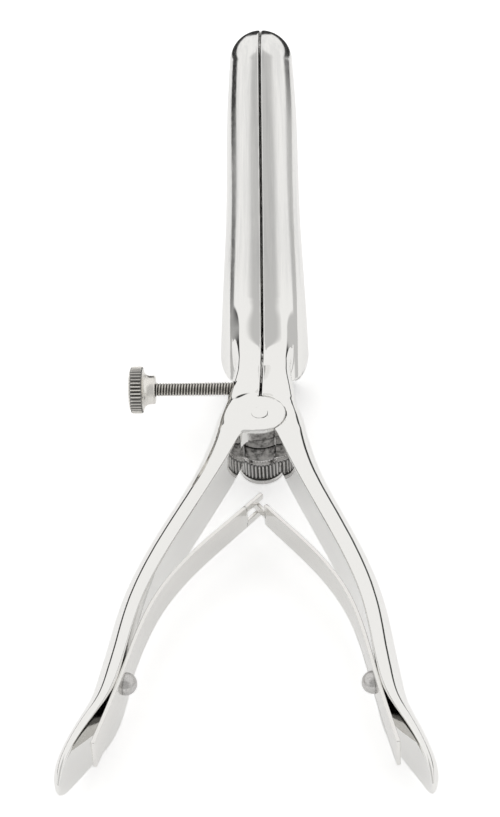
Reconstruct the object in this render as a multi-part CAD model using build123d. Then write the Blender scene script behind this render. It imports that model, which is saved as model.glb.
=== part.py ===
from build123d import *
import os
from math import radians, sin, cos, tan, atan2

# Three-bladed spring-handled anal speculum, in millimetres.
# It lies on its back on a table: the handles are level, the blades rise from them.
# X is to the right, +Y runs from the handles towards the blades, +Z is up.
# The origin is on the table, under the pivot that both levers turn on.

# Pivot and the two lapped hubs, from the top down
hub_top_z = 21.4          # top of the left lever's round boss
boss_height = 3.9         # upper boss, on the left lever
disc_height = 2.9         # lower disc, on the right lever
lap_gap = 0.05            # between the boss and the disc
hub_radius = 7.2
hub_fit = 0.1             # round the boss and the disc, in the other lever
lug_ring_clear = 0.4      # round the lug, inside the levers' heels
pin_radius = 1.8
pin_head_radius = 2.2
pin_head_depth = 0.6
pin_fit = 0.04
hub_edge_round = 0.4      # top edge of the boss
pin_in_collar = 0.1       # how far the pin runs down into the post's collar
slit_half = 0.3           # half of the slit between the two front blades
edge_round = 0.45         # along both edges of the levers' flat inner face

# Blades: a round tube in three sectors, seen along its own axis
blade_rise = 49.0         # degrees from the level of the handles
tube_axis_back = 32.4     # from the boss top back to the tube's axis, square to the blades
tube_tip = 108.5          # from the boss top along the blades to the tip
tube_foot = 8.4           # the same to the blades' lowest edge
wall = 1.4
foot_radius = 12.85
flare_radius = 11.9
flare_at = 31.0
middle_radius = 10.5
middle_at = 57.0
neck_radius = 9.75
neck_back = 12.6          # from the nose back to the neck
nose_radius = 8.9
sector = 120.0
foot_corner_in = 7.7      # half width of the straight part of the foot edge
foot_corner_rise = 11.1   # height of the rounded corner of the foot
foot_trim = 1.0           # turned below the foot edge, then cut off
table_clear = 1.0         # under the rear blade

# Bend between the level shanks and the blades
bend_radius = 14.0
bend_end_past = 6.0       # how far the shank runs up into the blade's wall
bend_end_sink = 0.3       # how deep its end lies in the wall
bend_proud = 0.35         # how far the bend's skin stands off the blades' flare
bend_level_size = (7.9, 6.4)   # width and depth where the bend leaves the level
bend_middle_size = (7.2, 4.8)
bend_blade_size = (6.6, 2.6)
bend_end_size = (5.0, 1.3)

# Shank, right side: distance ahead of the pivot, width and depth
shank_front = (13.5, 9.5, 6.8)
shank_middle = (6.5, 11.4, 6.8)
shank_heel = (0.5, 12.4, 9.2)

# Springs
leaf_thick = 1.1
leaf_seat = 0.03
leaf_mid_z = 12.6
leaf_foot_width = 9.0
leaf_tip_width = 7.2
leaf_tail_length = 25.0
leaf_tail_turn = 1.5      # degrees that the tail stands off the handle
fork_slot = 3.1
tongue_width = 2.5
fork_depth = 3.6
fork_clear = 0.6          # between the tongue's shoulder and the fork's prongs
leaf_past_middle = 2.0
leaf_hole_fit = 0.05
rivet_radius = 1.5
rivet_dome_radius = 3.0
rivet_dome_height = 3.0
rivet_depth = 2.4
rivet_in_dome = 0.5       # how far the rivet's shank runs into its dome

# Side lock screw
lock_y = 14.2
lock_z = 17.7
lock_stem_radius = 1.98
lock_stem_show = 20.4     # bare thread between the collar and the shank
lock_stem_chamfer = 0.3
lock_shank_curve = 0.5    # what the shank's round side falls back at the screw
lock_fit = 0.05
lock_tip_gap = 0.3        # short of the other shank
lock_head_radius = 6.6
lock_band = 3.4
lock_dome = 0.8
lock_cap_round = 2.2      # width of the outer face's rounded border
lock_cone = 2.1
lock_collar = 1.3
lock_collar_radius = 4.05
lock_core_in = 0.9        # from the teeth's tips in to the head's plain core
lock_teeth = 38
tooth_depth = 0.35        # on the lock screw's head and the adjusting knob
lock_socket = 5.0
socket_clear = 0.3        # past the end of the stem

# Rear adjusting screw: knob, washer, cross pins and the rod under the pivot
knob_radius = 6.1
knob_flange_radius = 6.3
knob_flange = 1.4
knob_band = 4.7
knob_chamfer = 0.8
flange_round = 0.5
knob_collar_radius = 4.9
knob_neck_radius = 3.6
knob_neck = 2.9
knob_teeth = 34
knob_floor = 0.8
washer_thick = 0.8
washer_radius = 4.6
axial_gap = 0.05
rod_radius = 2.0
rod_flat = 1.55           # half width across the rod's flats
rod_end_clear = 0.4
rod_fit = 0.06
post_collar_radius = 3.0
lug_gap = 0.7             # between the levers' hubs and the lug
lug_height = 4.3
lug_radius = 7.0
lug_plate = 1.5
neck_fit = 0.08
cross_pin_radius = 0.5
groove_depth = 0.6
pin_end_in = 0.2          # from the lug's side in to each end of a cross pin
rod_in_collar = 0.15      # how far the rod runs up into the post's collar
arm_width = 8.0
arm_thick = 4.0
arm_level_to = 12.5       # how far ahead of the pivot the arm stays level
arm_low_at = 33.0
arm_low_z = 3.2

# Handles: inner face from the hub to the paddle's end, right side.
# Each row: x and y of the inner face, heading off straight back in degrees,
# thickness, lower and upper edge.
handle_rows = [
    (2.6, -4.0, 20.0, 10.4, 9.6, 21.2),
    (5.4, -8.5, 22.0, 8.6, 7.6, 20.9),
    (10.0, -20.5, 22.0, 7.7, 7.0, 20.4),
    (16.6, -36.5, 22.5, 7.4, 6.6, 20.0),
    (23.1, -52.5, 20.5, 7.2, 5.8, 19.6),
    (28.1, -68.0, 14.5, 6.7, 4.2, 19.4),
    (31.1, -84.0, 9.0, 6.4, 1.8, 19.2),
    (32.6, -93.0, 12.0, 6.4, 0.7, 19.2),
    (35.0, -102.0, 20.0, 5.9, 0.0, 19.0),
    (39.2, -110.5, 28.0, 5.0, 0.1, 18.4),
    (43.2, -118.5, 25.0, 4.0, 1.8, 16.8),
    (45.3, -124.0, 16.0, 2.5, 4.8, 13.8),
    (46.0, -126.3, 16.0, 1.0, 7.4, 11.2),
]
rivet_row = 7             # the row of the handle that carries the spring's rivet
leaf_points = [(29.2, -80.0), (24.7, -65.0), (15.6, -48.6), (7.6, -38.0)]
leaf_cross_y = -28.2      # where the two springs cross, on the middle plane

# Worked out from the sizes above
lap_z = hub_top_z - boss_height
hub_low_z = lap_z - lap_gap - disc_height
lug_top_z = hub_low_z - lug_gap
lug_low_z = lug_top_z - lug_height
hub_point = Vector(0, 0, hub_top_z)
along = Vector(0, cos(radians(blade_rise)), sin(radians(blade_rise)))
behind = Vector(0, sin(radians(blade_rise)), -cos(radians(blade_rise)))
tube_plane = Plane(hub_point + behind * tube_axis_back, x_dir=(1, 0, 0), z_dir=tuple(along))
far = 300.0


def z_cylinder(radius, low, high):
    return Pos(0, 0, (low + high) / 2) * Cylinder(radius, high - low)


def z_box(x_low, x_high, y_low, y_high, z_low, z_high):
    centre = Pos((x_low + x_high) / 2, (y_low + y_high) / 2, (z_low + z_high) / 2)
    return centre * Box(x_high - x_low, y_high - y_low, z_high - z_low)


def knurled(radius, height, teeth):
    # A straight-toothed band on Z, from 0 up
    points = []
    for k in range(teeth):
        for share, r in ((0.0, radius - tooth_depth), (0.3, radius), (0.7, radius)):
            angle = radians((k + share) * 360.0 / teeth)
            points.append((r * cos(angle), r * sin(angle)))
    return extrude(make_face(Polyline(*points, close=True)), height)


def turned(points):
    # A body turned about Z from a half outline of (radius, height) points
    return revolve(Plane.XZ * make_face(Polyline(*points, close=True)), Axis.Z)


def tube_profile(inset):
    # Half outline of the closed tube, from the axis out, inset from the outer skin
    nose_at = tube_tip - nose_radius
    low = tube_foot - foot_trim
    side = Spline(
        (foot_radius - inset, low),
        (flare_radius - inset, flare_at),
        (middle_radius - inset, middle_at),
        (neck_radius - inset, nose_at - neck_back),
        (nose_radius - inset, nose_at),
    )
    nose = CenterArc((0, nose_at), nose_radius - inset, 0, 90)
    closing = Polyline((0, nose_at + nose_radius - inset), (0, low), (foot_radius - inset, low))
    return make_face([side, nose, closing])


def tube_solid(inset):
    return revolve(Plane.XZ * tube_profile(inset), Axis.Z)


def foot_outline():
    # What the blades keep when their foot edge is rounded, looking square at them
    top = foot_corner_rise + tube_foot
    keep = Pos(0, top + far / 2) * Rectangle(far, far)
    keep += Pos(0, top - foot_corner_rise / 2) * Rectangle(2 * foot_corner_in, foot_corner_rise)
    for side in (-1, 1):
        corner = Ellipse(foot_radius - foot_corner_in, foot_corner_rise)
        keep += Pos(side * foot_corner_in, top) * corner
    return extrude(Plane.XZ * keep, far / 4, both=True)


def front_sector(side):
    # Region of the tube that one front blade takes, from the slit round to its rear edge
    turn = radians(sector)
    corner = (side * slit_half, -slit_half / tan(turn / 2))
    rear = (corner[0] + side * far * sin(turn), corner[1] - far * cos(turn))
    points = [corner, (corner[0], -far), (side * far, -far), rear]
    return Pos(0, 0, -far / 2) * extrude(make_face(Polyline(*points, close=True)), far)


def rear_sector():
    turn = radians(sector)
    corner = (0, slit_half / sin(turn))
    reach = far / sin(turn)
    right = (reach * sin(turn), corner[1] - reach * cos(turn))
    points = [corner, right, (-right[0], right[1])]
    return Pos(0, 0, -far / 2) * extrude(make_face(Polyline(*points, close=True)), far)


def blade_shell():
    return (tube_solid(0) - tube_solid(wall)) & foot_outline()


def section(plane, width, low, high):
    # D-shaped section: flat inner face with rounded edges, bulging outside
    middle = (low + high) / 2
    r = min(edge_round, width / 3)
    outside = EllipticalCenterArc((r, middle), width - r, (high - low) / 2, start_angle=-90, arc_size=180)
    top_edge = CenterArc((r, high - r), r, 90, 90)
    flat = Line((0, high - r), (0, low + r))
    low_edge = CenterArc((r, low + r), r, 180, 90)
    return plane * make_face([outside, top_edge, flat, low_edge])


def bend_station(share):
    # Plane on the skin of the bend, share 0 at the level end and 1 at the blade end
    turn = blade_rise * share
    skin_back = tube_axis_back - flare_radius - bend_proud
    meet_y = skin_back / sin(radians(blade_rise))
    start_y = meet_y - bend_radius * tan(radians(blade_rise / 2))
    a = radians(turn)
    point = (slit_half, start_y + bend_radius * sin(a), hub_top_z + bend_radius * (1 - cos(a)))
    return Plane(point, x_dir=(1, 0, 0), z_dir=(0, -cos(a), -sin(a)))


def shank_section(row):
    y, width, depth = row
    plane = Plane((slit_half, y, hub_top_z), x_dir=(1, 0, 0), z_dir=(0, -1, 0))
    return section(plane, width, -depth, 0.0)


def handle_station(row):
    x, y, heading, _, _, _ = row
    a = radians(heading)
    return Plane((x, y, 0), x_dir=(cos(a), sin(a), 0), z_dir=(sin(a), -cos(a), 0))


def spine():
    # Right lever from the blade's wall through the hub to the paddle's end
    blade_end = bend_station(1)
    past = Plane(
        blade_end.origin + along * bend_end_past + behind * bend_end_sink,
        x_dir=(1, 0, 0),
        z_dir=blade_end.z_dir,
    )
    sections = [
        section(past, bend_end_size[0], -bend_end_size[1], 0),
        section(blade_end, bend_blade_size[0], -bend_blade_size[1], 0),
        section(bend_station(0.5), bend_middle_size[0], -bend_middle_size[1], 0),
        section(bend_station(0), bend_level_size[0], -bend_level_size[1], 0),
        shank_section(shank_front),
        shank_section(shank_middle),
        shank_section(shank_heel),
    ]
    for row in handle_rows:
        sections.append(section(handle_station(row), row[3], row[4], row[5]))
    return loft(sections)


def lever(side):
    # side 1 is the right lever, -1 the left
    body = spine() & z_box(slit_half, far, -far, far, 0, far)
    if side < 0:
        body = mirror(body, Plane.YZ)
    open_radius = hub_radius + hub_fit
    if side > 0:
        body -= z_cylinder(open_radius, lap_z - lap_gap, far)
        body -= z_cylinder(lug_radius + lug_ring_clear, 0, hub_low_z)
        body += z_cylinder(hub_radius, hub_low_z, lap_z - lap_gap)
    else:
        body -= z_cylinder(open_radius, 0, lap_z)
        body -= z_cylinder(lug_radius + lug_ring_clear, 0, hub_low_z)
        boss = z_cylinder(hub_radius, lap_z, hub_top_z)
        body += fillet(boss.edges().group_by(Axis.Z)[-1], hub_edge_round)
    body -= tube_plane * tube_solid(wall)
    body += tube_plane * (blade_shell() & front_sector(side))
    body -= z_cylinder(pin_radius + pin_fit, 0, far)
    return body


def left_lever():
    body = lever(-1)
    sink = pin_head_depth + pin_fit
    cone = Cone(pin_radius + pin_fit, pin_head_radius + pin_fit, sink)
    body -= Pos(0, 0, hub_top_z - sink / 2) * cone
    hole = Cylinder(lock_stem_radius + lock_fit, far)
    body -= Pos(-far / 2, lock_y, lock_z) * Rot(0, 90, 0) * hole
    return body - rivet_hole(-1)


def right_lever():
    return lever(1) - rivet_hole(1)


def rivet_place(side):
    # On the handle's inner face, Z pointing into the handle
    row = handle_rows[rivet_row]
    a = radians(row[2])
    return Plane((side * row[0], row[1], leaf_mid_z), x_dir=(0, 0, 1), z_dir=(side * cos(a), sin(a), 0))


def rivet_hole(side):
    mouth = leaf_thick
    hole = Cylinder(rivet_radius, rivet_depth + mouth)
    return rivet_place(side) * Pos(0, 0, (rivet_depth - mouth) / 2) * hole


def spring_rivet(side):
    dome_base = leaf_thick + 2 * leaf_seat
    bulge = (rivet_dome_radius ** 2 + rivet_dome_height ** 2) / (2 * rivet_dome_height)
    ball = Pos(0, 0, bulge - rivet_dome_height - dome_base) * Sphere(bulge)
    dome = ball & z_box(-far, far, -far, far, -far, -dome_base)
    shank = z_cylinder(rivet_radius, -dome_base - rivet_in_dome, rivet_depth)
    return rivet_place(side) * (dome + shank)


def leaf_line():
    # Middle line of the right spring from its tail to its tip
    x, y, heading, _, _, _ = handle_rows[rivet_row]
    off = leaf_thick / 2 + leaf_seat
    a = radians(heading)
    seat = Vector(x - off * cos(a), y - off * sin(a), leaf_mid_z)
    b = radians(heading + leaf_tail_turn)
    tail = seat + Vector(sin(b), -cos(b), 0) * leaf_tail_length
    last = leaf_points[-1]
    slope = Vector(-last[0], leaf_cross_y - last[1], 0).normalized()
    cross = Vector(0, leaf_cross_y, leaf_mid_z)
    tip = cross + slope * leaf_past_middle
    points = [Vector(px, py, leaf_mid_z) for px, py in leaf_points]
    return tail, Spline(tail, seat, *points, cross, tip)


def leaf_spring(side):
    tail, line = leaf_line()
    start = Plane(line @ 0, x_dir=(0, 0, 1), z_dir=line % 0)
    strip = sweep(start * Rectangle(leaf_foot_width, leaf_thick), line)
    # the width tapers from the rivet to the tip
    rivet_y = handle_rows[rivet_row][1]
    taper = [
        (rivet_y - 2 * leaf_tail_length, leaf_foot_width / 2),
        (rivet_y, leaf_foot_width / 2),
        (leaf_cross_y, leaf_tip_width / 2),
        (0, leaf_tip_width / 2),
        (0, -leaf_tip_width / 2),
        (leaf_cross_y, -leaf_tip_width / 2),
        (rivet_y, -leaf_foot_width / 2),
        (rivet_y - 2 * leaf_tail_length, -leaf_foot_width / 2),
    ]
    profile = extrude(Plane.YZ * make_face(Polyline(*taper, close=True)), far, both=True)
    strip = strip & (Pos(0, 0, leaf_mid_z) * profile)
    if side < 0:
        strip = mirror(strip, Plane.YZ)
    strip -= rivet_place(side) * Cylinder(rivet_radius + leaf_hole_fit, 4 * leaf_thick)
    back_y = leaf_cross_y - fork_depth
    if side < 0:
        half = fork_slot / 2
        strip -= z_box(-far, far, back_y, 0, leaf_mid_z - half, leaf_mid_z + half)
    else:
        half = tongue_width / 2
        shoulder_y = back_y + fork_clear
        strip -= z_box(-far, far, shoulder_y, 0, leaf_mid_z + half, far)
        strip -= z_box(-far, far, shoulder_y, 0, 0, leaf_mid_z - half)
    return strip


def lock_stem():
    tip_x = slit_half - lock_tip_gap
    shank_edge = -lock_shank_reach()
    collar_x = shank_edge - lock_stem_show
    outer_x = collar_x - lock_socket
    length = tip_x - outer_x
    stem = Pos(outer_x + length / 2, lock_y, lock_z) * Rot(0, 90, 0) * Cylinder(lock_stem_radius, length)
    return chamfer(stem.edges().filter_by(GeomType.CIRCLE), lock_stem_chamfer)


def lock_shank_reach():
    # Where the round outside of the left shank stands at the screw
    return slit_half + shank_front[1] - lock_shank_curve


def lock_head():
    collar_x = -lock_shank_reach() - lock_stem_show
    cone_top = lock_collar + lock_cone
    band_top = cone_top + lock_band
    edge = lock_head_radius - lock_core_in
    foot = Line((0, 0), (lock_collar_radius, 0))
    collar = Line(foot @ 1, (lock_collar_radius, lock_collar))
    flare = EllipticalCenterArc(
        (edge, lock_collar), edge - lock_collar_radius, lock_cone, start_angle=90, arc_size=90
    )
    side = Line((edge, cone_top), (edge, band_top))
    cap = EllipticalCenterArc(
        (edge - lock_cap_round, band_top), lock_cap_round, lock_dome, start_angle=0, arc_size=90
    )
    back = Polyline(cap @ 1, (0, band_top + lock_dome), (0, 0))
    shape = revolve(Plane.XZ * make_face([foot, collar, flare, side, cap, back]), Axis.Z)
    band = knurled(lock_head_radius, lock_band, lock_teeth)
    trim = Pos(0, 0, lock_band / 2) * Cylinder(lock_head_radius, lock_band)
    trim = chamfer(trim.edges().filter_by(GeomType.CIRCLE), lock_core_in / 2)
    shape += Pos(0, 0, cone_top) * (band & trim)
    shape -= z_cylinder(lock_stem_radius + lock_fit, -far, lock_socket + socket_clear)
    return Plane((collar_x, lock_y, lock_z), x_dir=(0, 0, 1), z_dir=(-1, 0, 0)) * shape


def adjusting_knob():
    band_top = knob_flange + knob_band
    collar_top = lug_low_z - washer_thick - 2 * axial_gap
    neck_top = collar_top + washer_thick + knob_neck
    core = knob_radius - knob_chamfer
    shape = turned([
        (0, 0),
        (knob_flange_radius - flange_round, 0),
        (knob_flange_radius, flange_round),
        (knob_flange_radius, knob_flange),
        (core, knob_flange),
        (core, band_top + knob_chamfer),
        (knob_collar_radius, band_top + knob_chamfer),
        (knob_collar_radius, collar_top),
        (knob_neck_radius, collar_top),
        (knob_neck_radius, neck_top),
        (0, neck_top),
    ])
    band = knurled(knob_radius, knob_band + knob_chamfer, knob_teeth)
    trim = turned([
        (0, 0),
        (knob_radius, 0),
        (knob_radius, knob_band),
        (core, knob_band + knob_chamfer),
        (0, knob_band + knob_chamfer),
    ])
    shape += Pos(0, 0, knob_flange) * (band & trim)
    groove = z_cylinder(far, pin_z() - cross_pin_radius - axial_gap, pin_z() + cross_pin_radius + axial_gap)
    groove -= z_cylinder(knob_neck_radius - groove_depth, 0, far)
    shape -= groove
    return shape - z_cylinder(rod_radius + rod_fit, knob_floor, far)


def pin_z():
    return lug_low_z + (lug_height - lug_plate) / 2


def thrust_washer():
    low = lug_low_z - washer_thick - axial_gap
    ring = z_cylinder(washer_radius, low, lug_low_z - axial_gap)
    return ring - z_cylinder(knob_neck_radius + neck_fit, 0, far)


def pivot_post():
    post = z_cylinder(pin_radius, hub_low_z - pin_in_collar, hub_top_z)
    cone = Cone(pin_radius, pin_head_radius, pin_head_depth)
    post += Pos(0, 0, hub_top_z - pin_head_depth / 2) * cone
    post += z_cylinder(post_collar_radius, lug_top_z + axial_gap, hub_low_z - axial_gap)
    rod = z_cylinder(rod_radius, knob_floor + rod_end_clear, lug_top_z + axial_gap + rod_in_collar)
    rod &= z_box(-rod_flat, rod_flat, -far, far, 0, far)
    return post + rod


def retaining_pins():
    # Two pins across the lug, each passing through the groove of the knob's neck
    pins = []
    for side in (-1, 1):
        pins.append(pin_place(side) * Cylinder(cross_pin_radius, pin_length()))
    return Compound(children=pins)


def pin_length():
    return 2 * (lug_radius ** 2 - pin_offset() ** 2) ** 0.5 - 2 * pin_end_in


def pin_offset():
    return knob_neck_radius - groove_depth + cross_pin_radius + axial_gap


def pin_place(side):
    return Pos(side * pin_offset(), 0, pin_z()) * Rot(90, 0, 0)


def rear_arm():
    # Side outline of the arm: level under the hubs, down, then level into the rear blade
    top = lug_top_z
    end_y = arm_low_at + 3 * arm_thick
    fall = atan2(top - arm_low_z - arm_thick / 2, arm_low_at - arm_level_to)
    shift = arm_thick * tan(fall / 2)
    low_top = arm_low_z + arm_thick / 2
    points = [
        (0, top),
        (arm_level_to, top),
        (arm_low_at, low_top),
        (end_y, low_top),
        (end_y, low_top - arm_thick),
        (arm_low_at - shift, low_top - arm_thick),
        (arm_level_to - shift, top - arm_thick),
        (0, top - arm_thick),
    ]
    arm = extrude(Plane.YZ * make_face(Polyline(*points, close=True)), arm_width / 2, both=True)
    # its far end is trimmed to the blade's outer skin
    plain = arm & z_box(-far, far, -far, arm_low_at + arm_thick, 0, far)
    return plain + (arm & (tube_plane * tube_solid(0)))


def third_blade():
    body = z_cylinder(lug_radius, lug_low_z, lug_top_z) + rear_arm()
    shell = tube_plane * (blade_shell() & rear_sector())
    body += shell & z_box(-far, far, -far, far, table_clear, far)
    slot = z_cylinder(rod_radius + rod_fit, lug_low_z, far)
    slot &= z_box(-rod_flat - rod_fit, rod_flat + rod_fit, -far, far, 0, far)
    body -= slot
    body -= z_cylinder(knob_neck_radius + neck_fit, 0, lug_top_z - lug_plate + axial_gap)
    for side in (-1, 1):
        body -= pin_place(side) * Cylinder(cross_pin_radius, pin_length())
    return body


nodes = {
    "left_lever": left_lever,
    "right_lever": right_lever,
    "third_blade": third_blade,
    "pivot_post": pivot_post,
    "adjusting_knob": adjusting_knob,
    "thrust_washer": thrust_washer,
    "retaining_pins": retaining_pins,
    "left_leaf_spring": lambda: leaf_spring(-1),
    "right_leaf_spring": lambda: leaf_spring(1),
    "left_spring_rivet": lambda: spring_rivet(-1),
    "right_spring_rivet": lambda: spring_rivet(1),
    "lock_screw_stem": lock_stem,
    "lock_screw_head": lock_head,
}

os.makedirs("parts", exist_ok=True)
for name, make in nodes.items():
    shape = make()
    export_step(shape, "parts/" + name + ".step")
    print(name, round(shape.volume, 2))
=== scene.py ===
import math
import bpy
import numpy as np
import openvdb
from mathutils import Matrix, Vector


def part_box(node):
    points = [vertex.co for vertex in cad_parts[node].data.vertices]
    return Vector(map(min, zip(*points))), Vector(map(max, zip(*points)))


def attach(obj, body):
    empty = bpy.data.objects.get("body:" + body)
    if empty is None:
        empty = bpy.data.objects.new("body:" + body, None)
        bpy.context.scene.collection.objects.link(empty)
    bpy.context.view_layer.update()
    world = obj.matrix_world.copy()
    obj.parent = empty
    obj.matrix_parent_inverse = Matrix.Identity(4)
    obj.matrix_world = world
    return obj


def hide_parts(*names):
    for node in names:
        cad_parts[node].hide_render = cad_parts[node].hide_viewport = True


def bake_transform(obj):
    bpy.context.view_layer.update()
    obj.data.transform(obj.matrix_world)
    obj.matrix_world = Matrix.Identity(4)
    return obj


# Shapes are worked out in millimetres and turned into metres when a mesh is made.
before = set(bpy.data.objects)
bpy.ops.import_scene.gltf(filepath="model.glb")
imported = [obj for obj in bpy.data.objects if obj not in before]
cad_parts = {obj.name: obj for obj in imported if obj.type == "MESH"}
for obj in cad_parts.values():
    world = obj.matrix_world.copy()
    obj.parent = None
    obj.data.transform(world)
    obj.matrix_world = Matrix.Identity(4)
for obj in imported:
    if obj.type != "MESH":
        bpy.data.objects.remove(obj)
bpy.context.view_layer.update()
mm = 0.001

# The pivot: the left lever's boss laps over the right lever's disc, above the rear lug
hub = {"top": 21.4, "boss": 3.9, "disc": 2.9, "lapGap": 0.05, "radius": 7.2, "fit": 0.1, "slitHalf": 0.3,
       "bossEdge": 0.5, "discEdge": 0.3, "bossSoft": 3.5, "crown": 90.0, "crownWide": 9.0,
       "crownFrom": -14.0, "pin": 1.84, "sink": 0.64, "headRadius": 2.24}

# The front blades and the rear one share one tapering tube with a round nose
tube = {"rise": 49.0, "axisBack": 32.4, "tip": 108.5, "foot": 8.4, "wall": 1.4,
        "at": [7.4, 31.0, 57.0, 87.0, 99.6], "radius": [12.85, 11.9, 10.5, 9.75, 8.9],
        "nose": 8.9, "cornerIn": 7.7, "cornerRise": 11.1, "sector": 120.0, "tableClear": 1.0,
        "slitEdge": 0.45, "rim": 0.35, "openBelow": 1.0}

# Rows: y, x of the right handle's inner face, how far its round outside stands out
# from that face, lower and upper edge
handle = {"endAt": 7.0, "endEdge": 0.6, "edge": 0.8, "paddleFrom": -96.0, "paddleOver": 18.0,
          "paddleEdge": 2.6, "edgeShare": 0.42, "rows": [
              (-126.3, 46.0, 1.0, 7.4, 11.2), (-124.0, 45.3, 2.35, 4.8, 13.8),
              (-118.5, 43.2, 3.85, 1.8, 16.8), (-110.5, 39.2, 5.0, 0.1, 18.4),
              (-102.0, 35.0, 5.9, 0.0, 19.0), (-93.0, 32.6, 6.4, 0.7, 19.2),
              (-84.0, 31.1, 6.4, 1.8, 19.2), (-68.0, 28.1, 6.7, 4.2, 19.4),
              (-52.5, 23.1, 7.2, 5.8, 19.6), (-36.5, 16.6, 7.4, 6.6, 20.0),
              (-20.5, 10.0, 7.7, 7.0, 20.4), (-8.5, 5.4, 8.9, 7.6, 20.9),
              (-2.0, 2.9, 9.3, 9.6, 21.2), (4.0, 0.5, 7.6, 12.6, 20.0), (8.0, -1.1, 5.0, 14.0, 18.2)]}

# Rows along the bent skin, from the hub up into the blade: y or place, half width,
# radius of the crown across it, lower and upper edge
shank = {"bend": 14.0, "proud": 0.35, "startAt": -4.0, "endAt": 41.0, "endEdge": 1.5, "edge": 2.2,
         "handleSoft": 4.0, "bladeSoft": 2.0, "screwY": 14.2, "screwZ": 17.7, "screwHole": 2.03, "rows": [
             (-6.0, 8.0, 20.0, 12.0, 21.3), (0.5, 10.6, 20.0, 12.6, 21.4), (6.5, 10.2, 20.0, 14.6, 21.4),
             (13.5, 9.2, 17.0, 14.6, 21.4), (20.3, 8.2, 14.0, 15.0, 21.45), (26.3, 7.6, 12.6, 16.4, 21.6),
             (32.3, 7.4, 12.0, 17.4, 21.7), (37.0, 7.2, 12.0, 16.6, 20.8), (42.0, 6.6, 12.0, 15.0, 18.6)]}

# The rear blade's lug under the hubs, and the arm that joins it to the blade
lug = {"radius": 7.0, "clear": 0.4, "gap": 0.7, "high": 4.3, "edge": 0.4, "soft": 1.0, "pocket": 3.68,
       "pocketDeep": 1.45, "armHalf": 2.0, "armWide": 4.0, "armEdge": 0.8, "kneeAt": 12.2,
       "armEnd": (33.4, 3.2), "armPast": 44.0, "armSoft": 1.5}

rise = math.radians(tube["rise"])
alongAxis = np.array([0.0, math.cos(rise), math.sin(rise)])
behindAxis = np.array([0.0, math.sin(rise), -math.cos(rise)])
noseAt = tube["tip"] - tube["nose"]
lapZ = hub["top"] - hub["boss"]
hubLow = lapZ - hub["lapGap"] - hub["disc"]
bendMeet = (tube["axisBack"] - tube["radius"][1] - shank["proud"]) / math.sin(rise)
bendStart = bendMeet - shank["bend"] * math.tan(rise / 2)


def curveThrough(knots, values):  # smooth curve through rows of values, with its slope and bend
    t = np.asarray(knots, float)
    v = np.asarray(values, float)
    n = len(t)
    h = np.diff(t)
    left = np.eye(n)
    right = np.zeros(v.shape)
    for i in range(1, n - 1):
        left[i, i - 1:i + 2] = h[i - 1], 2 * (h[i - 1] + h[i]), h[i]
        right[i] = 6 * ((v[i + 1] - v[i]) / h[i] - (v[i] - v[i - 1]) / h[i - 1])
    m = np.linalg.solve(left, right)

    def at(x, order=0):
        x = np.clip(x, t[0], t[-1])
        i = np.clip(np.searchsorted(t, x) - 1, 0, n - 2)
        shape = (-1,) + (1,) * (v.ndim - 1)
        step = h[i].reshape(shape)
        a = (t[i + 1] - x).reshape(shape)
        b = (x - t[i]).reshape(shape)
        slopes = v[i] / step - m[i] * step / 6
        ends = v[i + 1] / step - m[i + 1] * step / 6
        if order == 0:
            return (m[i] * a ** 3 + m[i + 1] * b ** 3) / (6 * step) + slopes * a + ends * b
        if order == 1:
            return (m[i + 1] * b ** 2 - m[i] * a ** 2) / (2 * step) - slopes + ends
        return (m[i] * a + m[i + 1] * b) / step
    return at


def softUnion(a, b, reach):
    share = np.clip(0.5 + 0.5 * (b - a) / reach, 0, 1)
    return b + (a - b) * share - reach * share * (1 - share)


def roundCut(a, b, radius):  # what is inside both, with its edge rounded
    corner = np.hypot(np.maximum(a + radius, 0), np.maximum(b + radius, 0))
    return np.minimum(np.maximum(a, b), -radius) + corner


def ellipseDistance(u, v, a, b):
    e = u / a
    g = v / b
    size = np.hypot(e, g)
    return size * (size - 1) / np.maximum(np.hypot(e / a, g / b), 1e-6)


handleStations = np.array(handle["rows"])
faceX = curveThrough(handleStations[:, 0], handleStations[:, 1])
handleSection = curveThrough(handleStations[:, 0], handleStations[:, 2:])
shankStations = np.array(shank["rows"])
shankSection = curveThrough(shankStations[:, 0], shankStations[:, 1:])
tubeRadius = curveThrough(tube["at"], tube["radius"])


def planPlace(x, y):  # nearest station on the inner face, and the distance out from the face
    first, last = handleStations[[0, -1], 0]
    u = y.copy()
    for _ in range(5):
        u = np.clip(u, first, last)
        gap = x - faceX(u)
        slope = faceX(u, 1)
        step = ((u - y) - gap * slope) / np.maximum(1 + slope ** 2 - gap * faceX(u, 2), 0.4)
        u = u - step
    u = np.clip(u, first, last)
    slope = faceX(u, 1)
    out = ((x - faceX(u)) - (y - u) * slope) / np.hypot(1, slope)
    endX = handleStations[0, 1]
    endSlope = faceX(np.array([first]), 1)[0]
    beyond = -((y - first) + (x - endX) * endSlope) / math.hypot(1, endSlope)
    return u, out, beyond


def tubePlace(p):
    along = p[:, 1] * alongAxis[1] + (p[:, 2] - hub["top"]) * alongAxis[2]
    back = p[:, 1] * behindAxis[1] + (p[:, 2] - hub["top"]) * behindAxis[2] - tube["axisBack"]
    r = np.hypot(p[:, 0], back)
    dome = np.hypot(r, along - noseAt) - tube["nose"]
    skin = np.where(along > noseAt, dome, r - tubeRadius(along))
    return along, back, skin


def footCut(x, along):
    inX = np.abs(x) - tube["cornerIn"]
    wide = tube["radius"][0] - tube["cornerIn"]
    top = tube["foot"] + tube["cornerRise"]
    corner = ellipseDistance(np.maximum(inX, 0), np.minimum(along - top, 0), wide, tube["cornerRise"])
    return np.where(along > top, inX - wide, np.where(inX > 0, corner, tube["foot"] - along))


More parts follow.
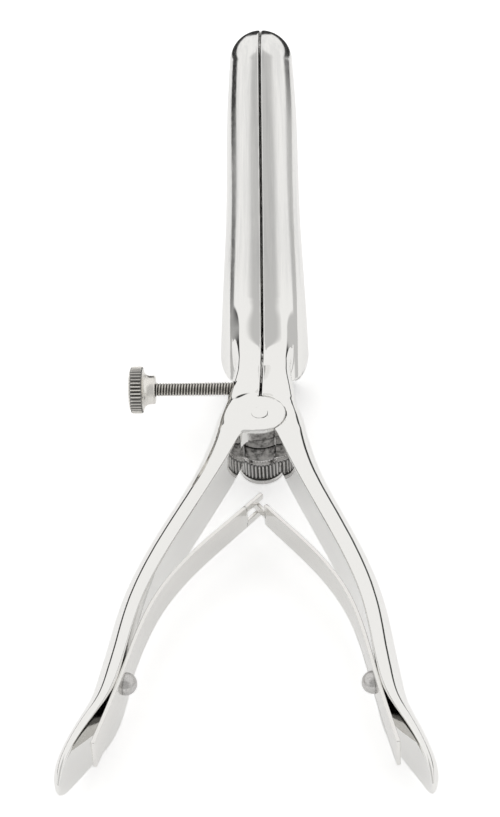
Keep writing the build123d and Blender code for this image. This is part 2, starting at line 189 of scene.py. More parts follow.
def shankPlace(y, z):  # place along the bent skin, and the height above or below it
    by = y - bendStart
    bz = z - hub["top"] - shank["bend"]
    turn = np.arctan2(by, -bz)
    endY = bendStart + shank["bend"] * math.sin(rise)
    endZ = hub["top"] + shank["bend"] * (1 - math.cos(rise))
    arc = shank["bend"] * np.clip(turn, 0, rise)
    onBlade = (y - endY) * alongAxis[1] + (z - endZ) * alongAxis[2]
    below = (y - endY) * behindAxis[1] + (z - endZ) * behindAxis[2]
    place = np.where(turn > rise, bendStart + shank["bend"] * rise + onBlade, bendStart + arc)
    height = np.where(turn > rise, -below, shank["bend"] - np.hypot(by, bz))
    level = (turn <= 0) | (y < bendStart)
    return level, place, np.where(level, z - hub["top"], height) + hub["top"]


def handleField(x, y, z):
    station, out, beyond = planPlace(x, y)
    wide, low, high = handleSection(station).T
    body = ellipseDistance(out, z - (high + low) / 2, wide, (high - low) / 2)
    body = roundCut(body, np.maximum(beyond, y - handle["endAt"]), handle["endEdge"])
    paddle = np.clip((handle["paddleFrom"] - station) / handle["paddleOver"], 0, 1)
    edge = handle["edge"] + (handle["paddleEdge"] - handle["edge"]) * paddle
    return roundCut(body, -out, np.minimum(edge, wide * handle["edgeShare"]))


def shankField(x, y, z):
    level, place, height = shankPlace(y, z)
    wide, crown, low, high = shankSection(np.where(level, y, place)).T
    top = np.hypot(x - hub["slitHalf"], height - high + crown) - crown
    body = roundCut(np.maximum(top, low - height), x - wide, shank["edge"])
    return roundCut(body, np.where(level, shank["startAt"] - y, place - shank["endAt"]), shank["endEdge"])


def topField(x, y, z):  # the crowned top that the shank, the boss and the handle's end share
    sunk = np.clip(x, 0, hub["crownWide"]) ** 2 / hub["crown"] * np.clip(1 - y / hub["crownFrom"], 0, 1)
    top = z - hub["top"] - np.maximum(y - bendStart, 0) + sunk
    return np.where(y > hub["crownFrom"], top, -9.0)


def leverField(p, side):  # the right lever's shape, turned over for the left one
    x = side * p[:, 0]
    y = p[:, 1]
    z = p[:, 2]
    r = np.hypot(x, y)
    along, back, skin = tubePlace(np.column_stack([x, y, z]))
    blade = np.maximum(skin, footCut(x, along))
    boss = roundCut(z - hub["top"], r - hub["radius"], hub["bossEdge"])
    body = softUnion(shankField(x, y, z), handleField(x, y, z), shank["handleSoft"])
    body = softUnion(body, blade, shank["bladeSoft"])
    if side < 0:
        body = softUnion(body, np.maximum(boss, lapZ - z), hub["bossSoft"])
    body = roundCut(body, topField(x, y, z), hub["bossEdge"])
    body = roundCut(body, hub["slitHalf"] - x, tube["slitEdge"])
    hollow = np.maximum(skin + tube["wall"], tube["foot"] - tube["openBelow"] - along)
    body = roundCut(body, -hollow, tube["rim"])
    turn = math.radians(tube["sector"])
    middle = back + hub["slitHalf"] / math.tan(turn / 2)
    rear = math.cos(turn) * (x - hub["slitHalf"]) + math.sin(turn) * middle
    body = roundCut(body, rear, tube["rim"])
    lapRoom = r - hub["radius"] - hub["fit"]
    lugRoom = np.maximum(r - lug["radius"] - lug["clear"], z - hubLow)
    if side > 0:
        body = roundCut(body, -np.maximum(lapRoom, lapZ - hub["lapGap"] - z), 0.2)
        body = roundCut(body, -lugRoom, 0.3)
        disc = np.maximum(z - lapZ + hub["lapGap"], hubLow - z)
        body = np.minimum(body, roundCut(disc, r - hub["radius"], hub["discEdge"]))
        return np.maximum(body, hub["pin"] - r)
    body = np.minimum(body, np.maximum(boss, x - 1.0))
    body = roundCut(body, -np.maximum(lapRoom, z - lapZ), 0.2)
    body = roundCut(body, -lugRoom, 0.3)
    screw = np.hypot(y - shank["screwY"], z - shank["screwZ"]) - shank["screwHole"]
    body = np.maximum(body, -np.maximum(screw, -x))
    sink = hub["headRadius"] - (hub["top"] - z) * (hub["headRadius"] - hub["pin"]) / hub["sink"]
    return np.maximum(body, np.maximum(hub["pin"], sink) - r)


def rearBladeField(p):
    x = np.abs(p[:, 0])
    y = p[:, 1]
    z = p[:, 2]
    along, back, skin = tubePlace(p)
    shell = roundCut(skin, -(skin + tube["wall"]), 0.3)
    shell = roundCut(shell, footCut(x, along), 0.4)
    turn = math.radians(tube["sector"])
    side = math.cos(turn) * x + math.sin(turn) * back
    shell = roundCut(shell, hub["slitHalf"] - side, tube["rim"])
    shell = roundCut(shell, tube["tableClear"] - z, 0.4)
    lugTop = hubLow - lug["gap"]
    armZ = lugTop - lug["armHalf"]
    endY, endZ = lug["armEnd"]
    stops = [(0.0, armZ), (lug["kneeAt"], armZ), (endY, endZ), (lug["armPast"], endZ)]
    arm = np.full(len(p), 1e3)
    for (y0, z0), (y1, z1) in zip(stops, stops[1:]):
        share = ((y - y0) * (y1 - y0) + (z - z0) * (z1 - z0)) / ((y1 - y0) ** 2 + (z1 - z0) ** 2)
        share = np.clip(share, 0, 1)
        arm = np.minimum(arm, np.hypot(y - y0 - share * (y1 - y0), z - z0 - share * (z1 - z0)))
    arm = roundCut(arm - lug["armHalf"], x - lug["armWide"], lug["armEdge"])
    arm = np.maximum(arm, np.where(along > 0, skin, -99.0))
    r = np.hypot(x, y)
    block = roundCut(r - lug["radius"], np.abs(z - lugTop + lug["high"] / 2) - lug["high"] / 2, lug["edge"])
    body = softUnion(softUnion(shell, arm, lug["armSoft"]), block, lug["soft"])
    return np.maximum(body, -np.maximum(r - lug["pocket"], z - lugTop + lug["pocketDeep"]))


def slopeOf(field, p, step=0.02):
    corners = np.array([(1, -1, -1), (-1, -1, 1), (-1, 1, -1), (1, 1, 1)], float)
    return sum(c * field(p + c * step)[:, None] for c in corners) / (4 * step)


def carve(name, field, low, high, pitch):  # a closed mesh on the surface where field is zero
    blocks = np.ceil((np.array(high) - np.array(low)) / (4 * pitch)).astype(int) + 1
    cells = np.stack(np.meshgrid(*[np.arange(n) for n in blocks], indexing="ij"), -1).reshape(-1, 3)
    coarse = field(low + (cells * 4 + 1.5) * pitch)
    fine = np.repeat(np.repeat(np.repeat(coarse.reshape(blocks), 4, 0), 4, 1), 4, 2)
    near = cells[np.abs(coarse) < 7.0 * pitch]
    inside = np.stack(np.meshgrid(*[np.arange(4)] * 3, indexing="ij"), -1).reshape(-1, 3)
    spots = (near[:, None, :] * 4 + inside).reshape(-1, 3)
    fine[tuple(spots.T)] = field(low + spots * pitch)
    grid = openvdb.FloatGrid(4.0)
    grid.copyFromArray(np.clip(fine, -4, 4).astype(np.float32))
    points, quads = grid.convertToQuads(0.0)
    p = low + np.asarray(points, float) * pitch
    for _ in range(3):
        slope = slopeOf(field, p)
        p -= np.clip(field(p), -0.3, 0.3)[:, None] * slope / np.maximum((slope ** 2).sum(1), 0.3)[:, None]
    slope = slopeOf(field, p)
    normals = slope / np.maximum(np.linalg.norm(slope, axis=1), 1e-6)[:, None]
    a, b, c = (p[quads[:, i]] for i in range(3))
    facing = (np.cross(b - a, c - a) * normals[quads[:, 0]]).sum()
    if facing < 0:
        quads = quads[:, ::-1]
    mesh = bpy.data.meshes.new(name)
    mesh.from_pydata(p * mm, [], quads.tolist())
    mesh.polygons.foreach_set("use_smooth", np.ones(len(quads), bool))
    mesh.normals_split_custom_set_from_vertices(normals)
    print(name, "carved with", len(quads), "quads")
    return link(name, mesh)


def link(name, mesh):
    piece = bpy.data.objects.new(name, mesh)
    bpy.context.scene.collection.objects.link(piece)
    return piece


camera = {"target": (0, 0, 21.4), "up": 41.6, "turn": 4.1, "roll": -3.4, "distance": 830.0,
          "scale": 3.64, "pixel": (259.4, 412.5), "frame": (500, 817), "sensor": 36.0}


def makeCamera():
    e = math.radians(camera["up"])
    t = math.radians(camera["turn"])
    roll = math.radians(camera["roll"])
    look = Vector((-math.sin(t) * math.cos(e), math.cos(t) * math.cos(e), -math.sin(e)))
    right = Vector((math.cos(t), math.sin(t), 0))
    up = right.cross(look)
    tilted = right * math.cos(roll) + up * math.sin(roll)
    up = tilted.cross(look)
    data = bpy.data.cameras.new("camera")
    data.sensor_width = camera["sensor"]
    longSide = max(camera["frame"])
    data.lens = camera["distance"] * camera["scale"] / longSide * camera["sensor"]
    data.shift_x = (camera["frame"][0] / 2 - camera["pixel"][0]) / longSide
    data.shift_y = (camera["pixel"][1] - camera["frame"][1] / 2) / longSide
    data.clip_start = 0.01
    data.clip_end = 20
    eye = bpy.data.objects.new("camera", data)
    bpy.context.scene.collection.objects.link(eye)
    eye.matrix_world = Matrix.Translation((Vector(camera["target"]) - look * camera["distance"]) * mm) @ \
        Matrix((tilted, up, -look)).transposed().to_4x4()
    bpy.context.scene.camera = eye
    return look


def feed(tree, socket, value):
    if isinstance(value, bpy.types.NodeSocket):
        tree.links.new(value, socket)
    else:
        socket.default_value = value


def maths(tree, operation, *values):
    node = tree.nodes.new("ShaderNodeMath")
    node.operation = operation
    for socket, value in zip(node.inputs, values):
        feed(tree, socket, value)
    return node.outputs[0]


def vectors(tree, operation, *values):
    node = tree.nodes.new("ShaderNodeVectorMath")
    node.operation = operation
    for socket, value in zip(node.inputs, values):
        feed(tree, socket, value)
    return node.outputs["Value" if operation in ("DOT_PRODUCT", "LENGTH") else "Vector"]


def ramp(tree, value, start, end, low=0.0, high=1.0):  # turns smoothly from low to high
    node = tree.nodes.new("ShaderNodeMapRange")
    node.interpolation_type = "SMOOTHSTEP"
    names = ("Value", "From Min", "From Max", "To Min", "To Max")
    for name, given in zip(names, (value, start, end, low, high)):
        feed(tree, node.inputs[name], given)
    return node.outputs["Result"]


def mixed(tree, share, first, second, kind="FLOAT"):
    node = tree.nodes.new("ShaderNodeMix")
    node.data_type = kind
    sockets = [s for s in node.inputs if s.enabled]
    for socket, value in zip(sockets, (share, first, second)):
        feed(tree, socket, value)
    return [s for s in node.outputs if s.enabled][0]


def noise(tree, place, scale, detail=3.0, roughness=0.5):
    node = tree.nodes.new("ShaderNodeTexNoise")
    feed(tree, node.inputs["Vector"], place)
    node.inputs["Scale"].default_value = scale
    node.inputs["Detail"].default_value = detail
    node.inputs["Roughness"].default_value = roughness
    return node.outputs["Fac"]


def newMaterial(name, colour, metallic=1.0):
    material = bpy.data.materials.new(name)
    material.use_nodes = True
    shader = material.node_tree.nodes["Principled BSDF"]
    shader.inputs["Base Color"].default_value = (*colour, 1)
    shader.inputs["Metallic"].default_value = metallic
    place = material.node_tree.nodes.new("ShaderNodeTexCoord").outputs["Object"]
    return material, shader, place


def bumped(tree, height, distance, normal=None):
    node = tree.nodes.new("ShaderNodeBump")
    node.inputs["Distance"].default_value = distance
    feed(tree, node.inputs["Height"], height)
    if normal:
        feed(tree, node.inputs["Normal"], normal)
    return node.outputs["Normal"]


finish = {"handleRough": 0.045, "bladeRough": 0.17, "waveDepth": 0.00004, "grainDepth": 0.000004,
          "handleGrain": 0.15, "hubWaves": 5.0, "castDepth": 0.0005, "castRough": 0.4,
          "steel": (0.84, 0.835, 0.82, 1), "streak": (0.66, 0.66, 0.66, 1)}


def polishedSteel():  # mirror finish on the handles, hazier along the blades
    material, shader, place = newMaterial("polishedSteel", (0.80, 0.795, 0.78))
    tree = material.node_tree
    hubPoint = (0, 0, hub["top"] * mm)
    height = vectors(tree, "DOT_PRODUCT", vectors(tree, "SUBTRACT", place, hubPoint), tuple(alongAxis))
    onBlade = ramp(tree, height, 0.026, 0.044)
    turned = tree.nodes.new("ShaderNodeMapping")
    turned.vector_type = "TEXTURE"
    turned.inputs["Rotation"].default_value = (rise, 0, 0)
    turned.inputs["Scale"].default_value = (1, 30, 1)
    feed(tree, turned.inputs["Vector"], place)
    grain = noise(tree, turned.outputs["Vector"], 2600, 4.0, 0.6)
    waves = noise(tree, place, 130, 1.0)
    smears = noise(tree, place, 420, 5.0, 0.65)
    haze = mixed(tree, onBlade, finish["handleRough"], finish["bladeRough"])
    spread = mixed(tree, ramp(tree, smears, 0.35, 0.75), 0.75, 1.3)
    offHub = vectors(tree, "LENGTH", vectors(tree, "SUBTRACT", place, (0, 0.005, hub["top"] * mm)))
    waves = maths(tree, "MULTIPLY", waves, ramp(tree, offHub, 0.009, 0.02, finish["hubWaves"], 1.0))
    normal = bumped(tree, waves, finish["waveDepth"])
    lines = maths(tree, "MULTIPLY", grain, mixed(tree, onBlade, finish["handleGrain"], 1.0))
    normal = bumped(tree, lines, finish["grainDepth"], normal)
    streaks = noise(tree, turned.outputs["Vector"], 600, 3.0, 0.6)
    shade = maths(tree, "MULTIPLY", ramp(tree, streaks, 0.35, 0.7), maths(tree, "MULTIPLY", onBlade, 0.5))
    tint = mixed(tree, shade, finish["steel"], finish["streak"], "RGBA")
    # the patch under the boss: cast roughness and bumps, with painted shade in its colour
    castPatchMask, lumps, dark = castFinishAndPaintedShade(tree, place)
    feed(tree, shader.inputs["Base Color"], mixed(tree, castPatchMask, tint, dark, "RGBA"))
    polish = maths(tree, "MULTIPLY", haze, spread)
    feed(tree, shader.inputs["Roughness"], mixed(tree, castPatchMask, polish, finish["castRough"]))
    lumps = maths(tree, "MULTIPLY", lumps, castPatchMask)
    feed(tree, shader.inputs["Normal"], bumped(tree, lumps, finish["castDepth"], normal))
    return material


def castFinishAndPaintedShade(tree, place):  # the unpolished forging round the pivot, under the boss: rough and bumped, and its near-black colour is painted shade in the recess there
    apart = tree.nodes.new("ShaderNodeSeparateXYZ")
    feed(tree, apart.inputs["Vector"], place)
    x, y, z = apart.outputs
    squares = maths(tree, "ADD", maths(tree, "MULTIPLY", x, x), maths(tree, "MULTIPLY", y, y))
    r = maths(tree, "SQRT", squares)
    inside = ramp(tree, r, (hub["radius"] + 0.1) * mm, (hub["radius"] + 0.7) * mm, 1.0, 0.0)
    front = ramp(tree, y, -0.003, -0.001, 1.0, 0.0)
    below = ramp(tree, z, (hub["top"] - 1.6) * mm, (hub["top"] - 1.1) * mm, 1.0, 0.0)
    castPatchMask = maths(tree, "MULTIPLY", maths(tree, "MULTIPLY", inside, front), below)
    lumps = noise(tree, place, 700, 6.0, 0.6)
    shade = ramp(tree, lumps, 0.35, 0.7)
    # painted shade: the patch darkens to near black, as the recess under the boss does in shade
    dark = mixed(tree, shade, (0.42, 0.41, 0.40, 1), (0.08, 0.078, 0.075, 1), "RGBA")
    return castPatchMask, lumps, dark


def paintedGrooveShade(tree, place, point, axis, deep, shadeEnd, inner=0.0):  # 1 in the grooves round an axis, where the colour gets painted shade
    offset = vectors(tree, "SUBTRACT", place, tuple(c * mm for c in point))
    along = vectors(tree, "MULTIPLY", offset, axis)
    r = vectors(tree, "LENGTH", vectors(tree, "SUBTRACT", offset, along))
    shadedGrooves = ramp(tree, r, deep * mm, shadeEnd * mm, 1.0, 0.0)
    if inner:
        shadedGrooves = maths(tree, "MULTIPLY", shadedGrooves, ramp(tree, r, (inner - 0.06) * mm, inner * mm))
    return shadedGrooves


def turnedSteel(name, colour, roughness, scale, depth, worn, shadedGrooves=()):  # fine uneven tool marks, with painted shade in the grooves given
    material, shader, place = newMaterial(name, colour)
    tree = material.node_tree
    marks = noise(tree, place, scale, 5.0, 0.7)
    patches = noise(tree, place, scale * 0.2, 3.0)
    dull = ramp(tree, patches, 0.3, 0.7, roughness * 0.8, roughness * 1.3)
    feed(tree, shader.inputs["Roughness"], dull)
    wornColour = (*[c * worn for c in colour], 1)
    grooveShadeColour = (*[c * 0.25 for c in colour], 1)
    tint = mixed(tree, ramp(tree, marks, 0.35, 0.8), (*colour, 1), wornColour, "RGBA")
    # painted shade: in each listed groove the colour drops to a quarter, like the shade deep in a thread or
    # knurl
    for given in shadedGrooves:
        tint = mixed(tree, paintedGrooveShade(tree, place, *given), tint, grooveShadeColour, "RGBA")
    feed(tree, shader.inputs["Base Color"], tint)
    feed(tree, shader.inputs["Normal"], bumped(tree, marks, depth))
    return material


tent = {"gap": 0.6, "gapWide": 0.34, "gapNarrow": 0.05, "gapFrom": 0.08, "gapTo": 0.38,
        "ringIn": 0.81, "ringOut": 0.945, "ringSoft": 0.02, "ringFrom": 0.055, "ringFull": 0.16,
        "horizon": 0.08, "capWide": 0.3, "capFrom": 0.82, "dark": 0.04, "dim": 0.6}


def makeWorld(look):  # a light tent, drawn by the direction a mirror would have to face to show it
    world = bpy.data.worlds.new("studio")
    bpy.context.scene.world = world
    world.use_nodes = True
    tree = world.node_tree
    away = -look
    right = Vector((0, 0, 1)).cross(away).normalized()
    up = away.cross(right)
    direction = tree.nodes.new("ShaderNodeTexCoord").outputs["Generated"]
    half = vectors(tree, "NORMALIZE", vectors(tree, "ADD", direction, tuple(away)))
    a = vectors(tree, "DOT_PRODUCT", half, tuple(right))
    b = vectors(tree, "DOT_PRODUCT", half, tuple(up))
    side = maths(tree, "ABSOLUTE", a)
    squares = maths(tree, "ADD", maths(tree, "MULTIPLY", a, a), maths(tree, "MULTIPLY", b, b))
    rho = maths(tree, "SQRT", squares)

    def band(value, low, high, soft):
        into = ramp(tree, value, low - soft, low + soft)
        return maths(tree, "MULTIPLY", into, ramp(tree, value, high - soft, high + soft, 1.0, 0.0))

    light = 1.0
    gapWide = ramp(tree, b, tent["gapFrom"], tent["gapTo"], tent["gapWide"], tent["gapNarrow"])
    inGap = ramp(tree, maths(tree, "DIVIDE", side, gapWide), 0.7, 1.3, 1.0, 0.0)
    inGap = maths(tree, "MULTIPLY", inGap, ramp(tree, b, tent["gapTo"], tent["gapTo"] + 0.04, 1.0, 0.0))
    light = mixed(tree, inGap, light, tent["gap"])
    height = tree.nodes.new("ShaderNodeSeparateXYZ")
    feed(tree, height.inputs["Vector"], direction)
    room = ramp(tree, height.outputs["Z"], tent["horizon"] - 0.03, tent["horizon"] + 0.03, 1.0, 0.0)
    fade = ramp(tree, b, tent["ringFrom"], tent["ringFull"])
    cap = maths(tree, "MULTIPLY", ramp(tree, side, tent["capWide"], tent["capWide"] + 0.06, 1.0, 0.0),
                band(rho, tent["ringIn"], tent["ringOut"], tent["ringSoft"]))
    cap = maths(tree, "MULTIPLY", cap, ramp(tree, b, tent["capFrom"], tent["capFrom"] + 0.02))
    light = mixed(tree, room, light, mixed(tree, fade, tent["dim"], tent["dark"]))
    light = mixed(tree, cap, light, tent["dark"])
    seen = tree.nodes.new("ShaderNodeLightPath").outputs["Is Camera Ray"]
    light = mixed(tree, seen, light, 1.0)
    feed(tree, tree.nodes["Background"].inputs["Strength"], light)
    tint = mixed(tree, seen, (1.0, 0.995, 0.985, 1), (1, 1, 1, 1), "RGBA")
    feed(tree, tree.nodes["Background"].inputs["Color"], tint)


floor = {"half": 0.25, "glow": 0.4, "mirrored": 0.5}


def makeFloor():
    size = floor["half"]
    mesh = bpy.data.meshes.new("floor")
    corners = [(-size, -size, 0), (size, -size, 0), (size, size, 0), (-size, size, 0)]
    mesh.from_pydata(corners, [], [(0, 1, 2, 3)])
    sheet = link("floor", mesh)
    material = bpy.data.materials.new("floor")
    material.use_nodes = True
    tree = material.node_tree
    shader = tree.nodes["Principled BSDF"]
    shader.inputs["Base Color"].default_value = (0.9, 0.9, 0.9, 1)
    shader.inputs["Roughness"].default_value = 0.9
    shader.inputs["Specular IOR Level"].default_value = 0.0
    shader.inputs["Emission Color"].default_value = (1, 1, 1, 1)
    rays = tree.nodes.new("ShaderNodeLightPath").outputs
    mirrored = maths(tree, "MULTIPLY", rays["Is Glossy Ray"], floor["mirrored"])
    glow = maths(tree, "MULTIPLY", maths(tree, "MAXIMUM", rays["Is Camera Ray"], mirrored), floor["glow"])
    feed(tree, shader.inputs["Emission Strength"], glow)
    mesh.materials.append(material)


def meshFrom(name, points, faces, sharp=35.0):
    mesh = bpy.data.meshes.new(name)
    mesh.from_pydata(np.asarray(points) * mm, [], faces)
    mesh.polygons.foreach_set("use_smooth", np.ones(len(faces), bool))
    mesh.set_sharp_from_angle(angle=math.radians(sharp))
    return mesh


def turnedPiece(outline, sides=72):  # outline runs from the axis round to the axis, as radius and height
    points = []
    rows = []
    for radius, height in outline:
        if radius < 1e-6:
            rows.append([len(points)] * sides)
            points.append((0.0, 0.0, height))
        else:
            rows.append(list(range(len(points), len(points) + sides)))
            for k in range(sides):
                turn = 2 * math.pi * k / sides
                points.append((radius * math.cos(turn), radius * math.sin(turn), height))
    faces = []
    for low, high in zip(rows, rows[1:]):
        for k in range(sides):
            corners = [low[k], low[(k + 1) % sides], high[(k + 1) % sides], high[k]]
            faces.append(tuple(dict.fromkeys(corners)))
    return np.array(points), faces


def placed(points, origin, axis):  # puts a piece made on Z at its place
    z = Vector(axis).normalized()
    x = z.orthogonal().normalized()
    turn = np.array([x, z.cross(x), z]).T
    return np.asarray(points) @ turn.T + np.array(origin)


def treeInputs(tree, **values):  # the group's named sizes
    tree.interface.new_socket("Geometry", in_out="OUTPUT", socket_type="NodeSocketGeometry")
    for name, value in values.items():
        kind = "NodeSocketInt" if isinstance(value, int) else "NodeSocketFloat"
        tree.interface.new_socket(name, in_out="INPUT", socket_type=kind)
    entry = tree.nodes.new("NodeGroupInput")
    return entry


def grown(name, tree, values, material):  # runs a node tree once and keeps its mesh, in millimetres
    holder = link(name + "_holder", bpy.data.meshes.new(name + "_holder"))
    holder.data.materials.append(material)
    modifier = holder.modifiers.new(name, "NODES")
    modifier.node_group = tree
    for item in tree.interface.items_tree:
        if item.in_out == "INPUT":
            modifier[item.identifier] = values[item.name]
    graph = bpy.context.evaluated_depsgraph_get()
    mesh = bpy.data.meshes.new_from_object(holder.evaluated_get(graph))
    bpy.data.objects.remove(holder)
    points = np.array([v.co for v in mesh.vertices])
    return points, [tuple(p.vertices) for p in mesh.polygons]


def teethTree():  # ridges standing round Z, tapered at both ends
    tree = bpy.data.node_groups.new("teeth", "GeometryNodeTree")
    entry = treeInputs(tree, Teeth=1, Radius=1.0, Length=1.0, Ridge=1.0)
    add = tree.nodes.new
    ring = add("GeometryNodeMeshCircle")
    line = add("GeometryNodeCurvePrimitiveLine")
    even = add("GeometryNodeResampleCurve")
    along = add("GeometryNodeSplineParameter")
    inner = add("ShaderNodeMath")
    taper = add("ShaderNodeMapRange")
    thick = add("GeometryNodeSetCurveRadius")
    profile = add("GeometryNodeCurvePrimitiveCircle")
    ridge = add("GeometryNodeCurveToMesh")
    where = add("GeometryNodeInputPosition")
    outward = add("FunctionNodeAlignRotationToVector")
    spread = add("GeometryNodeInstanceOnPoints")
    top = add("ShaderNodeCombineXYZ")
    real = add("GeometryNodeRealizeInstances")
    out = add("NodeGroupOutput")
    feed(tree, ring.inputs["Vertices"], entry.outputs["Teeth"])
    feed(tree, ring.inputs["Radius"], entry.outputs["Radius"])
    feed(tree, top.inputs["Z"], entry.outputs["Length"])
    feed(tree, line.inputs["End"], top.outputs["Vector"])
    feed(tree, even.inputs["Curve"], line.outputs["Curve"])
    even.inputs["Count"].default_value = 9
    inner.operation = "PINGPONG"
    feed(tree, inner.inputs[0], along.outputs["Factor"])
    inner.inputs[1].default_value = 0.5
    feed(tree, taper.inputs["Value"], inner.outputs[0])
    taper.inputs["From Max"].default_value = 0.13
    taper.inputs["To Min"].default_value = 0.35
    feed(tree, thick.inputs["Curve"], even.outputs["Curve"])
    feed(tree, thick.inputs["Radius"], taper.outputs["Result"])
    profile.inputs["Resolution"].default_value = 4
    feed(tree, profile.inputs["Radius"], entry.outputs["Ridge"])
    feed(tree, ridge.inputs["Curve"], thick.outputs["Curve"])
    feed(tree, ridge.inputs["Profile Curve"], profile.outputs["Curve"])
    feed(tree, ridge.inputs["Scale"], taper.outputs["Result"])
    ridge.inputs["Fill Caps"].default_value = True
    feed(tree, outward.inputs["Vector"], where.outputs["Position"])
    outward.axis = "X"
    feed(tree, spread.inputs["Points"], ring.outputs["Mesh"])
    feed(tree, spread.inputs["Instance"], ridge.outputs["Mesh"])
    feed(tree, spread.inputs["Rotation"], outward.outputs["Rotation"])
    feed(tree, real.inputs["Geometry"], spread.outputs["Instances"])
    finishTree(tree, real.outputs["Geometry"], out)
    return tree


def finishTree(tree, geometry, out):
    paint = tree.nodes.new("GeometryNodeSetMaterial")
    feed(tree, paint.inputs["Geometry"], geometry)
    feed(tree, out.inputs["Geometry"], paint.outputs["Geometry"])


def threadTree():  # one ridge wound up round Z
    tree = bpy.data.node_groups.new("thread", "GeometryNodeTree")
    entry = treeInputs(tree, Turns=1.0, Radius=1.0, Length=1.0, Ridge=1.0)
    add = tree.nodes.new
    spiral = add("GeometryNodeCurveSpiral")
    upright = add("GeometryNodeSetCurveNormal")
    profile = add("GeometryNodeCurvePrimitiveCircle")
    ridge = add("GeometryNodeCurveToMesh")
    real = add("GeometryNodeRealizeInstances")
    out = add("NodeGroupOutput")
    spiral.inputs["Resolution"].default_value = 24
    feed(tree, spiral.inputs["Rotations"], entry.outputs["Turns"])
    feed(tree, spiral.inputs["Start Radius"], entry.outputs["Radius"])
    feed(tree, spiral.inputs["End Radius"], entry.outputs["Radius"])
    feed(tree, spiral.inputs["Height"], entry.outputs["Length"])
    upright.mode = "Z_UP"
    feed(tree, upright.inputs["Curve"], spiral.outputs["Curve"])
    profile.inputs["Resolution"].default_value = 4
    feed(tree, profile.inputs["Radius"], entry.outputs["Ridge"])
    feed(tree, ridge.inputs["Curve"], upright.outputs["Curve"])
    feed(tree, ridge.inputs["Profile Curve"], profile.outputs["Curve"])
    ridge.inputs["Fill Caps"].default_value = True
    feed(tree, real.inputs["Geometry"], ridge.outputs["Mesh"])
    finishTree(tree, real.outputs["Geometry"], out)
    return tree


def joined(*parts):  # several closed shells as one list of points and faces
    points = []
    faces = []
    for given, loops in parts:
        start = sum(len(p) for p in points)
        points.append(np.asarray(given))
        faces.extend(tuple(start + i for i in loop) for loop in loops)
    return np.vstack(points), faces


def dressed(name, mesh, body, material, slotName, *nodes):
    piece = link(name, mesh)
    mesh.materials.clear()
    mesh.materials.append(material)
    if body:
        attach(piece, body)
    if nodes:
        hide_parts(*nodes)
    print(name, "made with", len(mesh.polygons), "faces")
    return piece


# The side screw: its collar, cone, knurled band and cap stand out from collarX
lockScrew = {"y": shank["screwY"], "z": shank["screwZ"], "collarX": -29.7, "tipX": 0.0, "stem": 1.98,
             "pitch": 0.794, "ridge": 0.4, "lead": 0.6, "socket": 5.0, "head": 6.6, "teeth": 38,
             "band": 3.4, "cone": 2.1, "collar": 1.3, "collarRadius": 4.05, "dome": 0.8, "core": 6.1,
             "toothRidge": 0.52, "round": 0.25, "fit": 0.05, "socketPast": 0.3}


def lockStem(material):
    s = lockScrew
    length = s["tipX"] - s["collarX"] + s["socket"]
    root = s["stem"] - s["ridge"]
    tip = s["lead"]
    core = [(0, 0), (root, 0), (root, length - tip * 0.5), (root - 0.4, length), (0, length)]
    values = {"Turns": (length - tip) / s["pitch"], "Radius": root, "Length": length - tip,
              "Ridge": s["ridge"]}
    ridge = grown("thread", threadTree(), values, material)
    points, faces = joined(turnedPiece(core, 40), ridge)
    place = placed(points, (s["collarX"] - s["socket"], s["y"], s["z"]), (1, 0, 0))
    mesh = meshFrom("lock_screw_thread", place, faces)
    return dressed("lock_screw_thread", mesh, "lock_stem", material, "satin_nickel", "lock_screw_stem")


def lockHead(material):
    s = lockScrew
    coneTop = s["collar"] + s["cone"]
    bandTop = coneTop + s["band"]
    hole = s["stem"] + s["fit"]
    collar = s["collarRadius"]
    core = [(hole, 0), (collar - s["round"], 0), (collar, s["round"]), (collar, s["collar"])]
    for k in range(1, 9):
        turn = math.pi / 2 * k / 8
        core.append((s["core"] - (s["core"] - collar) * math.cos(turn),
                     s["collar"] + s["cone"] * math.sin(turn)))
    core += [(s["core"], bandTop - 0.1)]
    for k in range(0, 9):
        turn = math.pi / 2 * k / 8
        radius = (s["core"] - s["round"]) * math.cos(turn * 0.92)
        core.append((radius, bandTop + s["dome"] * math.sin(turn)))
    core += [(0, bandTop + s["dome"])]
    depth = s["socket"] + s["socketPast"]
    outline = [(0, depth), (hole, depth)] + core
    values = {"Teeth": s["teeth"], "Radius": s["head"] - s["toothRidge"], "Length": s["band"],
              "Ridge": s["toothRidge"]}
    teeth, loops = grown("head_teeth", teethTree(), values, material)
    points, faces = joined(turnedPiece(outline, 96), (teeth + (0, 0, coneTop), loops))
    place = placed(points, (s["collarX"], s["y"], s["z"]), (-1, 0, 0))
    name = "lock_screw_knurled_head"
    mesh = meshFrom(name, place, faces, 28)
    return dressed(name, mesh, "lock_head", material, "satin_nickel", "lock_screw_head")


# The knob under the hubs, from its flange up through the knurled band to its neck
knob = {"radius": 6.1, "flangeRadius": 6.3, "flange": 1.4, "band": 4.7, "chamfer": 0.8, "collar": 4.9,
        "neck": 3.6, "groove": 0.6, "teeth": 34, "hole": 2.06, "floor": 0.8, "core": 5.6,
        "toothRidge": 0.52, "clear": 0.05, "round": 0.5, "edge": 0.2, "smallEdge": 0.15}


